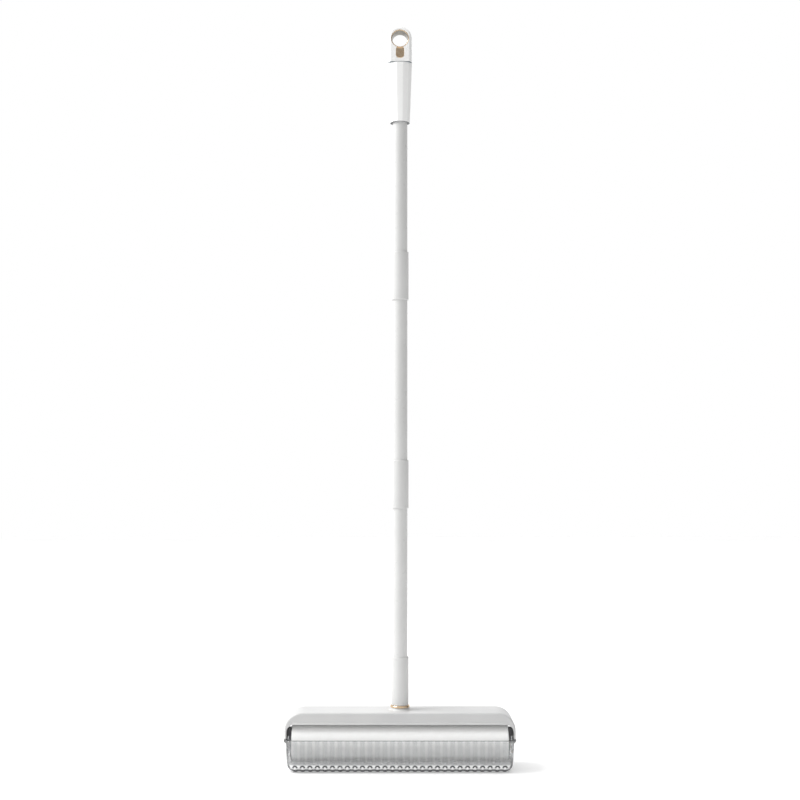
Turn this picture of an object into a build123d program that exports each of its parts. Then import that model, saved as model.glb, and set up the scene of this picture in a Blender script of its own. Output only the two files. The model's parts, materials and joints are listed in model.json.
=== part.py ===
"""Long-handled adhesive floor roller: a sectional pole, a hooded roller head and a clear fluted dust cover.

Millimetres. X runs along the roller, Y from the front (-Y) to the back, Z up.
The origin is on the floor, under the middle of the dust cover.
"""
from build123d import *
import math
import os

os.makedirs("parts", exist_ok=True)

# Clearances
running = 0.05          # radial, round things that turn or slide in each other
gap = 0.3               # between moving neighbours that don't guide each other

# Adhesive refill and the drum that carries it
roll_r = 34.0
roll_length = 316.0
axis_z = 38.6           # height of the roller's axis
core_bore_r = 19.05     # standard paper core
core_wall = 2.0
drum_wall = 2.4
drum_fins = 8
fin_height = 1.2
fin_width = 1.6

# Dust cover
cover_half_x = 167.5    # at the rim
cover_half_y = 38.4     # at the rim, without the flutes
cover_top = 48.0
cover_wall = 2.2
cover_draft = 3.5       # degrees
cover_corner_r = 13.0
cover_floor_r = 10.0
flute_count = 29
flute_pitch = 10.9
flute_width = 7.6
flute_height = 1.6
lip_height = 4.0
lip_out = 2.4
lip_edge_r = 1.0
crest_cut = 0.12        # taken off the crests of the flutes, where they stand on the floor

# Hood
hood_half_x = 169.0
hood_half_y = 28.5
hood_top = 86.5
hood_corner_r = 27.0
hood_edge_r = 2.6
hood_window_r = 12.0    # upper corners of the openings at the front and the back
hood_wall = 3.0
hood_face_bottom = 69.3
hood_lip_height = 3.2   # a sloped lip along the lower edges of the front and the back
hood_lip_out = 1.6
hood_lip_root = 1.0     # depth in the wall
hood_lip_edge = 0.8
hood_lip_inset = 9.0    # from the end walls
rib_count = 4           # across the ceiling
rib_pitch = 80.0
rib_thick = 2.0
rib_depth = 5.0

# Screws of the brackets
screw_r = 1.6
screw_bite = 2.0        # depth in the hood's wall
screw_head_r = 2.8
screw_head_height = 1.5

# Axle line
axle_r = 4.0
flange_r = 23.0
flange_thick = 2.4
bracket_thick = 2.8
bracket_r = 11.0
bracket_drop = 0.5      # below the start of the hood's rounded corner
bracket_lift = 1.5      # above the hood's lower edge
hub_depth = 24.0
pin_shoulder = 2.0      # wall of the right hub that the pin's collar rests on
pin_collar_r = 6.0
pin_collar_thick = 2.0
pin_stem_r = 2.0
pin_stem_length = 8.0
pin_chamfer = 0.8
cup_wall_gap = 2.0      # radial, around the pin's collar
seat_thick = 3.0
spring_r = 4.0
spring_wire_r = 0.5
spring_turns = 6

# Neck spigot and its screw
spigot_step = 1.5       # the spigot is this much thinner than the tube, below the sleeve
spigot_chamfer = 1.0
foot_width = 36.0
foot_depth = 30.0
foot_corner_r = 5.0
foot_thick = 3.0
neck_screw_r = 2.1
neck_screw_length = 24.0
neck_screw_hole = 30.0
neck_screw_head_r = 4.0
neck_screw_head_height = 2.2
neck_screw_slot = (5.0, 0.8, 1.2)

# Pole
tube_r = 11.0
tube_wall = 0.9
sleeve_wall = 1.7
sleeve_height = 71.2
sleeve_edge_r = 0.6
stop_height = 1.6
stop_ledge = 2.5        # how far the stop ring stands in from the tube's outside
plug_rim = 1.5
plug_stem = 10.0
plug_wall = 2.0
neck_sleeve_z = 93.4
middle_sleeve_z = 384.2
upper_sleeve_z = 691.8
neck_ring_out = 1.9     # beyond the sleeve
neck_ring_height = 3.4
neck_ring_edge_r = 1.2
collar_step = 0.6       # the collar's top is this much smaller than the ring
collar_flare = 3.6      # from the collar's top to its foot

# Grip and hanging cap
grip_z = 953.5
grip_length = 88.0
grip_lower_wall_x = 3.35    # thickness over the tube at the lower end
grip_lower_wall_y = 2.2
grip_upper_half_x = 17.7
grip_upper_wall_y = 0.8
grip_sides = 12
grip_recess_wall = 0.9  # left around the recess in the grip's lower end
grip_recess_depth = 4.0
grip_end_wall = 6.0     # between the tube's end and the cap's stub
hang_z = 1076.0
hang_r = 11.7
liner_wall = 0.8
liner_flange_r = 13.2
liner_flange_thick = 0.7
cap_r = 17.55
cap_half_y = 10.35
tongue_width = 12.4
tongue_length = 17.0
tongue_thick = 1.0
tongue_corner_r = 4.5
cap_edge_r = 2.5
cap_seam = 0.8          # height and depth of the groove between cap and grip
cap_stub_half_x = 11.0
cap_stub_half_y = 8.0
cap_stub_corner_r = 5.0
cap_stub_length = 6.0

# Worked out from the above
roll_half = roll_length / 2
core_r = core_bore_r + core_wall
drum_r = core_bore_r - fin_height
drum_bore_r = drum_r - drum_wall
flange_x = roll_half + flange_thick
bracket_x = flange_x + gap
bracket_outer_x = bracket_x + bracket_thick
hood_inner_x = hood_half_x - hood_wall
hood_ceiling = hood_top - hood_wall
hood_bottom = cover_top - crest_cut
socket_r = tube_r + running
sleeve_r = tube_r + sleeve_wall
stop_bore_r = tube_r - stop_ledge
neck_ring_r = sleeve_r + neck_ring_out
collar_top_r = neck_ring_r - collar_step
collar_base_r = collar_top_r + collar_flare
grip_recess_r = tube_r + grip_lower_wall_y - grip_recess_wall
tube_bore_r = tube_r - tube_wall
grip_top = grip_z + grip_length
facet = math.cos(math.radians(180 / grip_sides))
pad_bottom = hood_bottom + bracket_lift
bracket_top = hood_top - hood_corner_r - bracket_drop
bracket_screw_places = [(side * bracket_r / 2, (pad_bottom + bracket_top) / 2) for side in (-1, 1)]
spigot_r = tube_r - spigot_step
spigot_foot = hood_ceiling - foot_thick
ring_z = neck_sleeve_z - neck_ring_height
collar_waist = (collar_top_r + 0.3 * collar_flare, hood_top + 0.4 * (ring_z - hood_top))
lower_stop = neck_sleeve_z + sleeve_height / 2
middle_stop = middle_sleeve_z + sleeve_height / 2
upper_stop = upper_sleeve_z + sleeve_height / 2
half_stop = stop_height / 2
tube_top = grip_top - cap_stub_length - grip_end_wall
cup_r = pin_collar_r + cup_wall_gap
pin_shoulder_x = roll_half - pin_shoulder
pin_collar_x = pin_shoulder_x - pin_collar_thick
pin_end_x = bracket_outer_x - gap
seat_x = roll_half - hub_depth + seat_thick
spring_start = seat_x + spring_wire_r
spring_length = pin_collar_x - seat_x - 2 * spring_wire_r
cap_foot = grip_top + cap_seam
cap_top = hang_z + cap_r
tongue_z = hang_z - hang_r - tongue_length / 2


def finish(piece, name):
    """Label a finished piece and write it."""
    piece.part.label = name
    export_step(piece.part, f"parts/{name}.step")


# Dust cover

# one flute: a flattened half-round rib down the front, under the floor and up the back
flute_r = (flute_width**2 / 4 + flute_height**2) / (2 * flute_height)
rib_top = cover_top - lip_height / 2
draft_in = math.tan(math.radians(cover_draft))
floor_half_y = cover_half_y - (cover_top - flute_height) * draft_in
with BuildPart() as flute:
    with BuildLine(Plane.YZ) as flute_path:
        FilletPolyline(
            (cover_half_y - (cover_top - rib_top) * draft_in, rib_top),
            (floor_half_y, flute_height),
            (-floor_half_y, flute_height),
            (-cover_half_y + (cover_top - rib_top) * draft_in, rib_top),
            radius=cover_floor_r,
        )
    start = flute_path.line @ 0
    with BuildSketch(Plane(origin=start, x_dir=(1, 0, 0), z_dir=flute_path.line % 0)) as flute_section:
        with Locations((0, flute_r - flute_height)):
            Circle(flute_r)
        Rectangle(2 * flute_r, 2 * cover_wall, align=(Align.CENTER, Align.CENTER), mode=Mode.INTERSECT)
    sweep(path=flute_path.line)

with BuildPart() as cover_hollow:
    with BuildSketch(Plane.XY.offset(cover_top)):
        RectangleRounded(2 * (cover_half_x - cover_wall), 2 * (cover_half_y - cover_wall),
                         cover_corner_r - cover_wall)
    extrude(amount=-(cover_top - flute_height - cover_wall), taper=cover_draft)
    fillet(cover_hollow.faces().sort_by(Axis.Z)[0].edges(), cover_floor_r - cover_wall)

with BuildPart() as dust_cover:
    with BuildSketch(Plane.XY.offset(cover_top)):
        RectangleRounded(2 * cover_half_x, 2 * cover_half_y, cover_corner_r)
    extrude(amount=-(cover_top - flute_height), taper=cover_draft)
    fillet(dust_cover.faces().sort_by(Axis.Z)[0].edges(), cover_floor_r)
    with GridLocations(flute_pitch, 0, flute_count, 1):
        add(flute.part)
    with BuildSketch(Plane.XY.offset(cover_top - lip_height)):
        RectangleRounded(2 * (cover_half_x + lip_out), 2 * (cover_half_y + lip_out), cover_corner_r + lip_out)
    extrude(amount=lip_height)
    fillet(dust_cover.edges().group_by(Axis.Z)[-1], lip_edge_r)
    add(cover_hollow.part, mode=Mode.SUBTRACT)
    # the crests are flattened where they stand on the floor
    split(bisect_by=Plane.XY.offset(crest_cut), keep=Keep.TOP)
dust_cover.part.position = (0, 0, -crest_cut)
finish(dust_cover, "dust_cover")


# Hood: an arched shell, open below, with end walls that reach down to the cover's rim

with BuildPart() as hood:
    with BuildSketch(Plane.XZ) as outline:
        with Locations((0, hood_bottom)):
            Rectangle(2 * hood_half_x, hood_top - hood_bottom, align=(Align.CENTER, Align.MIN))
        fillet(outline.vertices().group_by(Axis.Y)[-1], hood_corner_r)
    extrude(amount=hood_half_y, both=True)
    fillet(hood.edges().filter_by(Axis.X).group_by(Axis.Z)[-1], hood_edge_r)
    with BuildSketch(Plane.XZ) as cavity:
        with Locations((0, hood_bottom)):
            Rectangle(2 * hood_inner_x, hood_ceiling - hood_bottom, align=(Align.CENTER, Align.MIN))
        fillet(cavity.vertices().group_by(Axis.Y)[-1], hood_corner_r - hood_wall)
    extrude(amount=hood_half_y - hood_wall, both=True, mode=Mode.SUBTRACT)
    with BuildSketch(Plane.XZ) as window:
        with Locations((0, hood_bottom)):
            Rectangle(2 * hood_inner_x, hood_face_bottom - hood_bottom, align=(Align.CENTER, Align.MIN))
        fillet(window.vertices().group_by(Axis.Y)[-1], hood_window_r)
    extrude(amount=2 * hood_half_y, both=True, mode=Mode.SUBTRACT)
    # a sloped lip stiffens the lower edge of the front and the back
    for side in (-1, 1):
        with BuildSketch(Plane.YZ.offset(-hood_inner_x + hood_lip_inset)):
            with BuildLine():
                Polyline(
                    (side * (hood_half_y - hood_lip_root), hood_face_bottom),
                    (side * (hood_half_y + hood_lip_out), hood_face_bottom),
                    (side * (hood_half_y + hood_lip_out), hood_face_bottom + hood_lip_edge),
                    (side * hood_half_y, hood_face_bottom + hood_lip_height),
                    (side * (hood_half_y - hood_lip_root), hood_face_bottom + hood_lip_height),
                    close=True,
                )
            make_face()
        extrude(amount=2 * (hood_inner_x - hood_lip_inset))
    # hole for the neck spigot, and ribs across the ceiling
    with BuildSketch(Plane.XY.offset(hood_ceiling)):
        Circle(spigot_r + running)
    extrude(amount=hood_wall, mode=Mode.SUBTRACT)
    with BuildSketch(Plane.XY.offset(hood_ceiling)):
        with GridLocations(rib_pitch, 0, rib_count, 1):
            Rectangle(rib_thick, 2 * (hood_half_y - hood_wall))
    extrude(amount=-rib_depth)
    # blind holes for the brackets' screws
    for side in (-1, 1):
        with BuildSketch(Plane.YZ.offset(side * hood_inner_x)):
            with Locations(*bracket_screw_places):
                Circle(screw_r)
        extrude(amount=side * screw_bite, mode=Mode.SUBTRACT)
finish(hood, "hood")


# Brackets that carry the roller, one inside each end wall of the hood

def make_bracket(side):
    """A flat plate with a bearing bore, and a pad that meets the hood's end wall."""
    with BuildPart() as bracket:
        with BuildSketch(Plane.YZ.offset(side * bracket_x)):
            with Locations((0, axis_z)):
                Circle(bracket_r)
            with Locations((0, (axis_z + bracket_top) / 2)):
                Rectangle(2 * bracket_r, bracket_top - axis_z)
        extrude(amount=side * bracket_thick)
        with BuildSketch(Plane.YZ.offset(side * bracket_outer_x)):
            with Locations((0, (pad_bottom + bracket_top) / 2)):
                Rectangle(2 * bracket_r, bracket_top - pad_bottom)
        extrude(amount=side * (hood_inner_x - bracket_outer_x))
        with BuildSketch(Plane.YZ.offset(side * bracket_x)):
            with Locations((0, axis_z)):
                Circle(axle_r + running)
        extrude(amount=side * bracket_thick, mode=Mode.SUBTRACT)
        with BuildSketch(Plane.YZ.offset(side * bracket_x)):
            with Locations(*bracket_screw_places):
                Circle(screw_head_r)
        extrude(amount=side * screw_head_height, mode=Mode.SUBTRACT)
        with BuildSketch(Plane.YZ.offset(side * bracket_x)):
            with Locations(*bracket_screw_places):
                Circle(screw_r)
        extrude(amount=side * (hood_inner_x - bracket_x), mode=Mode.SUBTRACT)
    return bracket


finish(make_bracket(-1), "left_bracket")
finish(make_bracket(1), "right_bracket")

with BuildPart() as bracket_screws:
    for side in (-1, 1):
        with BuildSketch(Plane.YZ.offset(side * bracket_x)):
            with Locations(*bracket_screw_places):
                Circle(screw_head_r)
        extrude(amount=side * screw_head_height)
        with BuildSketch(Plane.YZ.offset(side * bracket_x)):
            with Locations(*bracket_screw_places):
                Circle(screw_r)
        extrude(amount=side * (hood_inner_x + screw_bite - bracket_x))
finish(bracket_screws, "bracket_screws")


# Neck: a spigot bolted through the hood, with a flared collar and a metal ring around it

with BuildPart() as neck_spigot:
    with BuildSketch(Plane.XY.offset(spigot_foot)):
        RectangleRounded(foot_width, foot_depth, foot_corner_r)
    extrude(amount=foot_thick)
    with BuildSketch(Plane.XY.offset(hood_ceiling)):
        Circle(spigot_r)
    extrude(amount=neck_sleeve_z - hood_ceiling)
    with BuildSketch(Plane.XY.offset(neck_sleeve_z)):
        Circle(tube_r)
    extrude(amount=lower_stop - half_stop - neck_sleeve_z)
    chamfer(neck_spigot.faces().sort_by(Axis.Z)[-1].edges(), spigot_chamfer)
    with BuildSketch(Plane.XY.offset(spigot_foot)):
        Circle(neck_screw_r)
    extrude(amount=neck_screw_hole, mode=Mode.SUBTRACT)
finish(neck_spigot, "neck_spigot")

slot_length, slot_width, slot_depth = neck_screw_slot
with BuildPart() as neck_screw:
    with BuildSketch(Plane.XY.offset(spigot_foot)):
        Circle(neck_screw_r)
    extrude(amount=neck_screw_length)
    with BuildSketch(Plane.XY.offset(spigot_foot)):
        Circle(neck_screw_head_r)
    extrude(amount=-neck_screw_head_height)
    with BuildSketch(Plane.XY.offset(spigot_foot - neck_screw_head_height)):
        Rectangle(slot_length, slot_width)
        Rectangle(slot_width, slot_length)
    extrude(amount=slot_depth, mode=Mode.SUBTRACT)
finish(neck_screw, "neck_screw")

with BuildPart() as neck_collar:
    with BuildSketch(Plane.XZ):
        with BuildLine():
            Polyline((spigot_r, ring_z), (spigot_r, hood_top), (collar_base_r, hood_top))
            ThreePointArc((collar_base_r, hood_top), collar_waist, (collar_top_r, ring_z))
            Line((collar_top_r, ring_z), (spigot_r, ring_z))
        make_face()
    revolve(axis=Axis.Z)
finish(neck_collar, "neck_collar")

with BuildPart() as neck_ring:
    with BuildSketch(Plane.XY.offset(ring_z)):
        Circle(neck_ring_r)
        Circle(spigot_r, mode=Mode.SUBTRACT)
    extrude(amount=neck_ring_height)
    fillet(neck_ring.edges().filter_by(GeomType.CIRCLE).sort_by(SortBy.RADIUS)[-2:], neck_ring_edge_r)
finish(neck_ring, "neck_ring")


# Roller: drum, end hubs, sprung pin, paper core and adhesive roll, all along X

with BuildPart() as drum:
    with BuildSketch(Plane.YZ.offset(-roll_half)):
        with Locations((0, axis_z)):
            Circle(drum_r)
            with PolarLocations(drum_r, drum_fins):
                Rectangle(2 * (fin_height - running), fin_width)
            Circle(drum_bore_r, mode=Mode.SUBTRACT)
    extrude(amount=roll_length)
finish(drum, "drum")

with BuildPart() as left_hub:
    with BuildSketch(Plane.YZ.offset(-roll_half)):
        with Locations((0, axis_z)):
            Circle(drum_bore_r)
    extrude(amount=hub_depth)
    with BuildSketch(Plane.YZ.offset(-flange_x)):
        with Locations((0, axis_z)):
            Circle(flange_r)
    extrude(amount=flange_thick)
    with BuildSketch(Plane.YZ.offset(-pin_end_x)):
        with Locations((0, axis_z)):
            Circle(axle_r)
    extrude(amount=pin_end_x - flange_x)
finish(left_hub, "left_hub")

with BuildPart() as right_hub:
    with BuildSketch(Plane.YZ.offset(roll_half - hub_depth)):
        with Locations((0, axis_z)):
            Circle(drum_bore_r)
    extrude(amount=hub_depth)
    with BuildSketch(Plane.YZ.offset(roll_half)):
        with Locations((0, axis_z)):
            Circle(drum_bore_r)
    extrude(amount=flange_thick)
    with BuildSketch(Plane.YZ.offset(roll_half - hub_depth)):
        with Locations((0, axis_z)):
            Circle(cup_r)
    extrude(amount=hub_depth - pin_shoulder, mode=Mode.SUBTRACT)
    with BuildSketch(Plane.YZ.offset(pin_shoulder_x)):
        with Locations((0, axis_z)):
            Circle(axle_r + running)
    extrude(amount=pin_shoulder + flange_thick, mode=Mode.SUBTRACT)
finish(right_hub, "right_hub")

with BuildPart() as spring_seat:
    with BuildSketch(Plane.YZ.offset(roll_half - hub_depth)):
        with Locations((0, axis_z)):
            Circle(cup_r)
    extrude(amount=seat_thick)
finish(spring_seat, "spring_seat")

with BuildPart() as sprung_pin:
    with BuildSketch(Plane.YZ.offset(pin_collar_x)):
        with Locations((0, axis_z)):
            Circle(pin_collar_r)
    extrude(amount=pin_collar_thick)
    with BuildSketch(Plane.YZ.offset(pin_shoulder_x)):
        with Locations((0, axis_z)):
            Circle(axle_r)
    extrude(amount=pin_end_x - pin_shoulder_x)
    chamfer(sprung_pin.faces().sort_by(Axis.X)[-1].edges(), pin_chamfer)
    with BuildSketch(Plane.YZ.offset(pin_collar_x)):
        with Locations((0, axis_z)):
            Circle(pin_stem_r)
    extrude(amount=-pin_stem_length)
finish(sprung_pin, "sprung_pin")

with BuildPart() as pin_spring:
    with BuildLine():
        coil = Helix(pitch=spring_length / spring_turns, height=spring_length, radius=spring_r,
                     center=(spring_start, 0, axis_z), direction=(1, 0, 0))
    with BuildSketch(Plane(origin=coil @ 0, z_dir=coil % 0)):
        Circle(spring_wire_r)
    sweep(path=coil, is_frenet=True)
finish(pin_spring, "pin_spring")

with BuildPart() as paper_core:
    with BuildSketch(Plane.YZ.offset(-roll_half)):
        with Locations((0, axis_z)):
            Circle(core_r)
            Circle(core_bore_r, mode=Mode.SUBTRACT)
    extrude(amount=roll_length)
finish(paper_core, "paper_core")

with BuildPart() as adhesive_roll:
    with BuildSketch(Plane.YZ.offset(-roll_half)):
        with Locations((0, axis_z)):
            Circle(roll_r)
            Circle(core_r, mode=Mode.SUBTRACT)
    extrude(amount=roll_length)
finish(adhesive_roll, "adhesive_roll")


# Pole: three coated tubes joined by sleeves

def make_tube(bottom, top):
    """A plain round tube."""
    with BuildPart() as tube:
        with BuildSketch(Plane.XY.offset(bottom)):
            Circle(tube_r)
            Circle(tube_bore_r, mode=Mode.SUBTRACT)
        extrude(amount=top - bottom)
    return tube


def make_sleeve(bottom):
    """A joining sleeve with a stop ring halfway up its bore."""
    middle = bottom + sleeve_height / 2
    with BuildPart() as sleeve:
        with BuildSketch(Plane.XY.offset(bottom)):
            Circle(sleeve_r)
            Circle(socket_r, mode=Mode.SUBTRACT)
        extrude(amount=sleeve_height)
        fillet(sleeve.edges().filter_by(GeomType.CIRCLE).sort_by(SortBy.RADIUS)[-2:], sleeve_edge_r)
        with BuildSketch(Plane.XY.offset(middle - stop_height / 2)):
            Circle((sleeve_r + socket_r) / 2)
            Circle(stop_bore_r, mode=Mode.SUBTRACT)
        extrude(amount=stop_height)
    return sleeve


def make_plug(bottom):
    """An end plug: a rim that the tube stands on, and a hollow stem inside the tube."""
    with BuildPart() as plug:
        with BuildSketch(Plane.XY.offset(bottom)):
            Circle(tube_r)
        extrude(amount=plug_rim)
        with BuildSketch(Plane.XY.offset(bottom + plug_rim)):
            Circle(tube_bore_r)
        extrude(amount=plug_stem)
        with BuildSketch(Plane.XY.offset(bottom)):
            Circle(tube_bore_r - plug_wall)
        extrude(amount=plug_rim + plug_stem, mode=Mode.SUBTRACT)
    return plug


finish(make_sleeve(neck_sleeve_z), "neck_sleeve")
finish(make_plug(lower_stop + half_stop), "lower_tube_plug")
finish(make_tube(lower_stop + half_stop + plug_rim, middle_stop - half_stop), "lower_tube")
finish(make_sleeve(middle_sleeve_z), "middle_sleeve")
finish(make_plug(middle_stop + half_stop), "middle_tube_plug")
finish(make_tube(middle_stop + half_stop + plug_rim, upper_stop - half_stop), "middle_tube")
finish(make_sleeve(upper_sleeve_z), "upper_sleeve")
finish(make_plug(upper_stop + half_stop), "upper_tube_plug")
finish(make_tube(upper_stop + half_stop + plug_rim, tube_top), "upper_tube")


# Grip: a twelve-sided handle, round below and wider than deep above

def facet_corners(half_x, half_y):
    """Corners of a twelve-sided outline with a flat side to the front, from its half width and half depth."""
    angles = [math.radians((side + 0.5) * 360 / grip_sides) for side in range(grip_sides)]
    return [(half_x / facet * math.cos(a), half_y / facet * math.sin(a)) for a in angles]


grip_ends = (
    (grip_z, tube_r + grip_lower_wall_x, tube_r + grip_lower_wall_y),
    (grip_top, grip_upper_half_x, tube_r + grip_upper_wall_y),
)
with BuildPart() as grip:
    for height, half_x, half_y in grip_ends:
        with BuildSketch(Plane.XY.offset(height)):
            with BuildLine():
                Polyline(*facet_corners(half_x, half_y), close=True)
            make_face()
    loft()
    with BuildSketch(Plane.XY.offset(grip_z)):
        Circle(tube_r)
    extrude(amount=tube_top - grip_z, mode=Mode.SUBTRACT)
    with BuildSketch(Plane.XY.offset(grip_z)):
        Circle(grip_recess_r)
    extrude(amount=grip_recess_depth, mode=Mode.SUBTRACT)
    with BuildSketch(Plane.XY.offset(grip_top)):
        RectangleRounded(2 * cap_stub_half_x, 2 * cap_stub_half_y, cap_stub_corner_r)
    extrude(amount=-cap_stub_length, mode=Mode.SUBTRACT)
finish(grip, "grip")


# Hanging cap: a thick plate with a round top, round sides and an eye through it

with BuildPart() as hang_cap:
    with BuildSketch(Plane.XY.offset(cap_foot)):
        Circle(cap_r)
        Rectangle(2 * cap_r, 2 * cap_half_y, mode=Mode.INTERSECT)
    extrude(amount=cap_top - cap_foot)
    with BuildSketch(Plane.XZ):
        with Locations((0, hang_z)):
            Circle(cap_r)
        with Locations((0, (grip_top + hang_z) / 2)):
            Rectangle(2 * cap_r, hang_z - grip_top)
    extrude(amount=2 * cap_r, both=True, mode=Mode.INTERSECT)
    rims = [face.outer_wire().edges() for face in hang_cap.faces().filter_by(Axis.Y)]
    fillet([edge for rim in rims for edge in rim if edge.center().Z > cap_foot + 1], cap_edge_r)
    with BuildSketch(Plane.XY.offset(cap_foot)):
        Circle(cap_r - cap_seam)
        Rectangle(2 * cap_r, 2 * (cap_half_y - cap_seam), mode=Mode.INTERSECT)
    extrude(amount=-cap_seam)
    with BuildSketch(Plane.XY.offset(grip_top)):
        RectangleRounded(2 * cap_stub_half_x, 2 * cap_stub_half_y, cap_stub_corner_r)
    extrude(amount=-cap_stub_length)
    with BuildSketch(Plane.XZ):
        with Locations((0, hang_z)):
            Circle(hang_r + liner_wall)
    extrude(amount=2 * cap_r, both=True, mode=Mode.SUBTRACT)
    for side in (-1, 1):
        with BuildSketch(Plane.XZ.offset(side * cap_half_y)):
            with Locations((0, hang_z)):
                Circle(liner_flange_r)
        extrude(amount=-side * liner_flange_thick, mode=Mode.SUBTRACT)
    # pocket for the tongue, on the front
    with BuildSketch(Plane.XZ.offset(cap_half_y)) as pocket:
        with Locations((0, tongue_z)):
            RectangleRounded(tongue_width, tongue_length, tongue_corner_r)
    extrude(amount=-tongue_thick, mode=Mode.SUBTRACT)
finish(hang_cap, "hang_cap")

with BuildPart() as cap_liner:
    with BuildSketch(Plane.XZ):
        with Locations((0, hang_z)):
            Circle(hang_r + liner_wall)
    extrude(amount=cap_half_y, both=True)
    for side in (-1, 1):
        with BuildSketch(Plane.XZ.offset(side * cap_half_y)):
            with Locations((0, hang_z)):
                Circle(liner_flange_r)
        extrude(amount=-side * liner_flange_thick)
    with BuildSketch(Plane.XZ):
        with Locations((0, hang_z)):
            Circle(hang_r)
    extrude(amount=2 * cap_r, both=True, mode=Mode.SUBTRACT)
finish(cap_liner, "cap_liner")

with BuildPart() as cap_tongue:
    with BuildSketch(Plane.XZ.offset(cap_half_y)):
        with Locations((0, tongue_z)):
            RectangleRounded(tongue_width, tongue_length, tongue_corner_r)
        with Locations((0, hang_z)):
            Circle(liner_flange_r, mode=Mode.SUBTRACT)
    extrude(amount=-tongue_thick)
finish(cap_tongue, "cap_tongue")
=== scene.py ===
"""Adhesive floor roller: the visual pieces, finishes, studio and camera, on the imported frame. Metres."""

import json
import math

import bmesh
import bpy
import numpy as np
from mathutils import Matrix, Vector


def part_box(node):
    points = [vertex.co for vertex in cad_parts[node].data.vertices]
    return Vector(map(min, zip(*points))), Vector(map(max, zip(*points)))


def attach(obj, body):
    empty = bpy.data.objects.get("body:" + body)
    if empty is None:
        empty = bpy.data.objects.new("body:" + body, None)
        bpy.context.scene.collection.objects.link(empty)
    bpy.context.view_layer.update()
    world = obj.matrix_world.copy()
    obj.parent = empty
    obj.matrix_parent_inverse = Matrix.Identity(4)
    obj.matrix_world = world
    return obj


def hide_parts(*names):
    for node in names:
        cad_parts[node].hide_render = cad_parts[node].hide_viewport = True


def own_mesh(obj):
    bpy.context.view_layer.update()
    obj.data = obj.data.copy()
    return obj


bl_info = {
    "name": "Adhesive floor roller",
    "version": (1, 0, 0),
    "blender": (4, 5, 0),
    "location": "View3D > Sidebar > Roller",
    "description": "Makes the roller's visible pieces, their finishes and a small studio",
    "category": "Add Mesh",
}

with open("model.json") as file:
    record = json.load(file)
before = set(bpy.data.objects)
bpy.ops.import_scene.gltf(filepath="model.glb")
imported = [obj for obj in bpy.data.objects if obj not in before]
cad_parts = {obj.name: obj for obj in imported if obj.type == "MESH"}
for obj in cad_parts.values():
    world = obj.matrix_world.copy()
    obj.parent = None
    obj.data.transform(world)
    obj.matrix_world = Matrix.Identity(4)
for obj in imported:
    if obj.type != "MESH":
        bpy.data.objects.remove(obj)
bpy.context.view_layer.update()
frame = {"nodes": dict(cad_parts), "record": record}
MM = 0.001


# Sizes read from the frame

def low(node):
    """Lowest corner of a node's box."""
    return np.array(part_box(node)[0], dtype=float)


def high(node):
    """Highest corner of a node's box."""
    return np.array(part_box(node)[1], dtype=float)


def middle(node):
    """Middle of a node's box."""
    return (low(node) + high(node)) / 2


frame_bore = next(m for m in frame["record"]["mounts"] if m["name"] == "hang_hole")["dims"]["r_mm"] * MM


# Colours

def linear(hex_colour):
    """sRGB hex, such as #F4F2EE, as a linear RGBA tuple."""
    channels = [int(hex_colour[i:i + 2], 16) / 255 for i in (1, 3, 5)]
    return (*[c / 12.92 if c <= 0.04045 else ((c + 0.055) / 1.055) ** 2.4 for c in channels], 1.0)


# Mesh helpers

def new_object(name, verts, faces):
    """A mesh object from arrays: verts is n x 3, faces a list of index arrays of 3 or 4 columns."""
    mesh = bpy.data.meshes.new(name)
    corners = np.concatenate([f.ravel() for f in faces])
    sizes = np.concatenate([np.full(len(f), f.shape[1]) for f in faces])
    mesh.vertices.add(len(verts))
    mesh.vertices.foreach_set("co", np.asarray(verts, dtype=np.float32).ravel())
    mesh.loops.add(len(corners))
    mesh.loops.foreach_set("vertex_index", corners.astype(np.int32))
    mesh.polygons.add(len(sizes))
    mesh.polygons.foreach_set("loop_start", (np.cumsum(sizes) - sizes).astype(np.int32))
    mesh.update(calc_edges=True)
    mesh.validate()
    mesh.shade_smooth()
    obj = bpy.data.objects.new(name, mesh)
    bpy.context.scene.collection.objects.link(obj)
    return obj


def grid_faces(rows, columns, wrap_rows=False, wrap_columns=False):
    """Quads of a rows x columns grid of vertices, joined round in either direction if wrapped."""
    r = np.arange(rows if wrap_rows else rows - 1)
    c = np.arange(columns if wrap_columns else columns - 1)
    r, c = [a.ravel() for a in np.meshgrid(r, c, indexing="ij")]
    r_next, c_next = (r + 1) % rows, (c + 1) % columns
    return np.stack([r * columns + c, r * columns + c_next,
                     r_next * columns + c_next, r_next * columns + c], axis=1)


def clean(obj, merge=1e-6):
    """Merges doubled vertices and turns the faces outwards."""
    mesh = bmesh.new()
    mesh.from_mesh(obj.data)
    bmesh.ops.remove_doubles(mesh, verts=mesh.verts, dist=merge)
    bmesh.ops.dissolve_degenerate(mesh, edges=mesh.edges, dist=merge / 10)
    bmesh.ops.recalc_face_normals(mesh, faces=mesh.faces)
    mesh.to_mesh(obj.data)
    mesh.free()
    obj.data.shade_smooth()
    return obj


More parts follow.
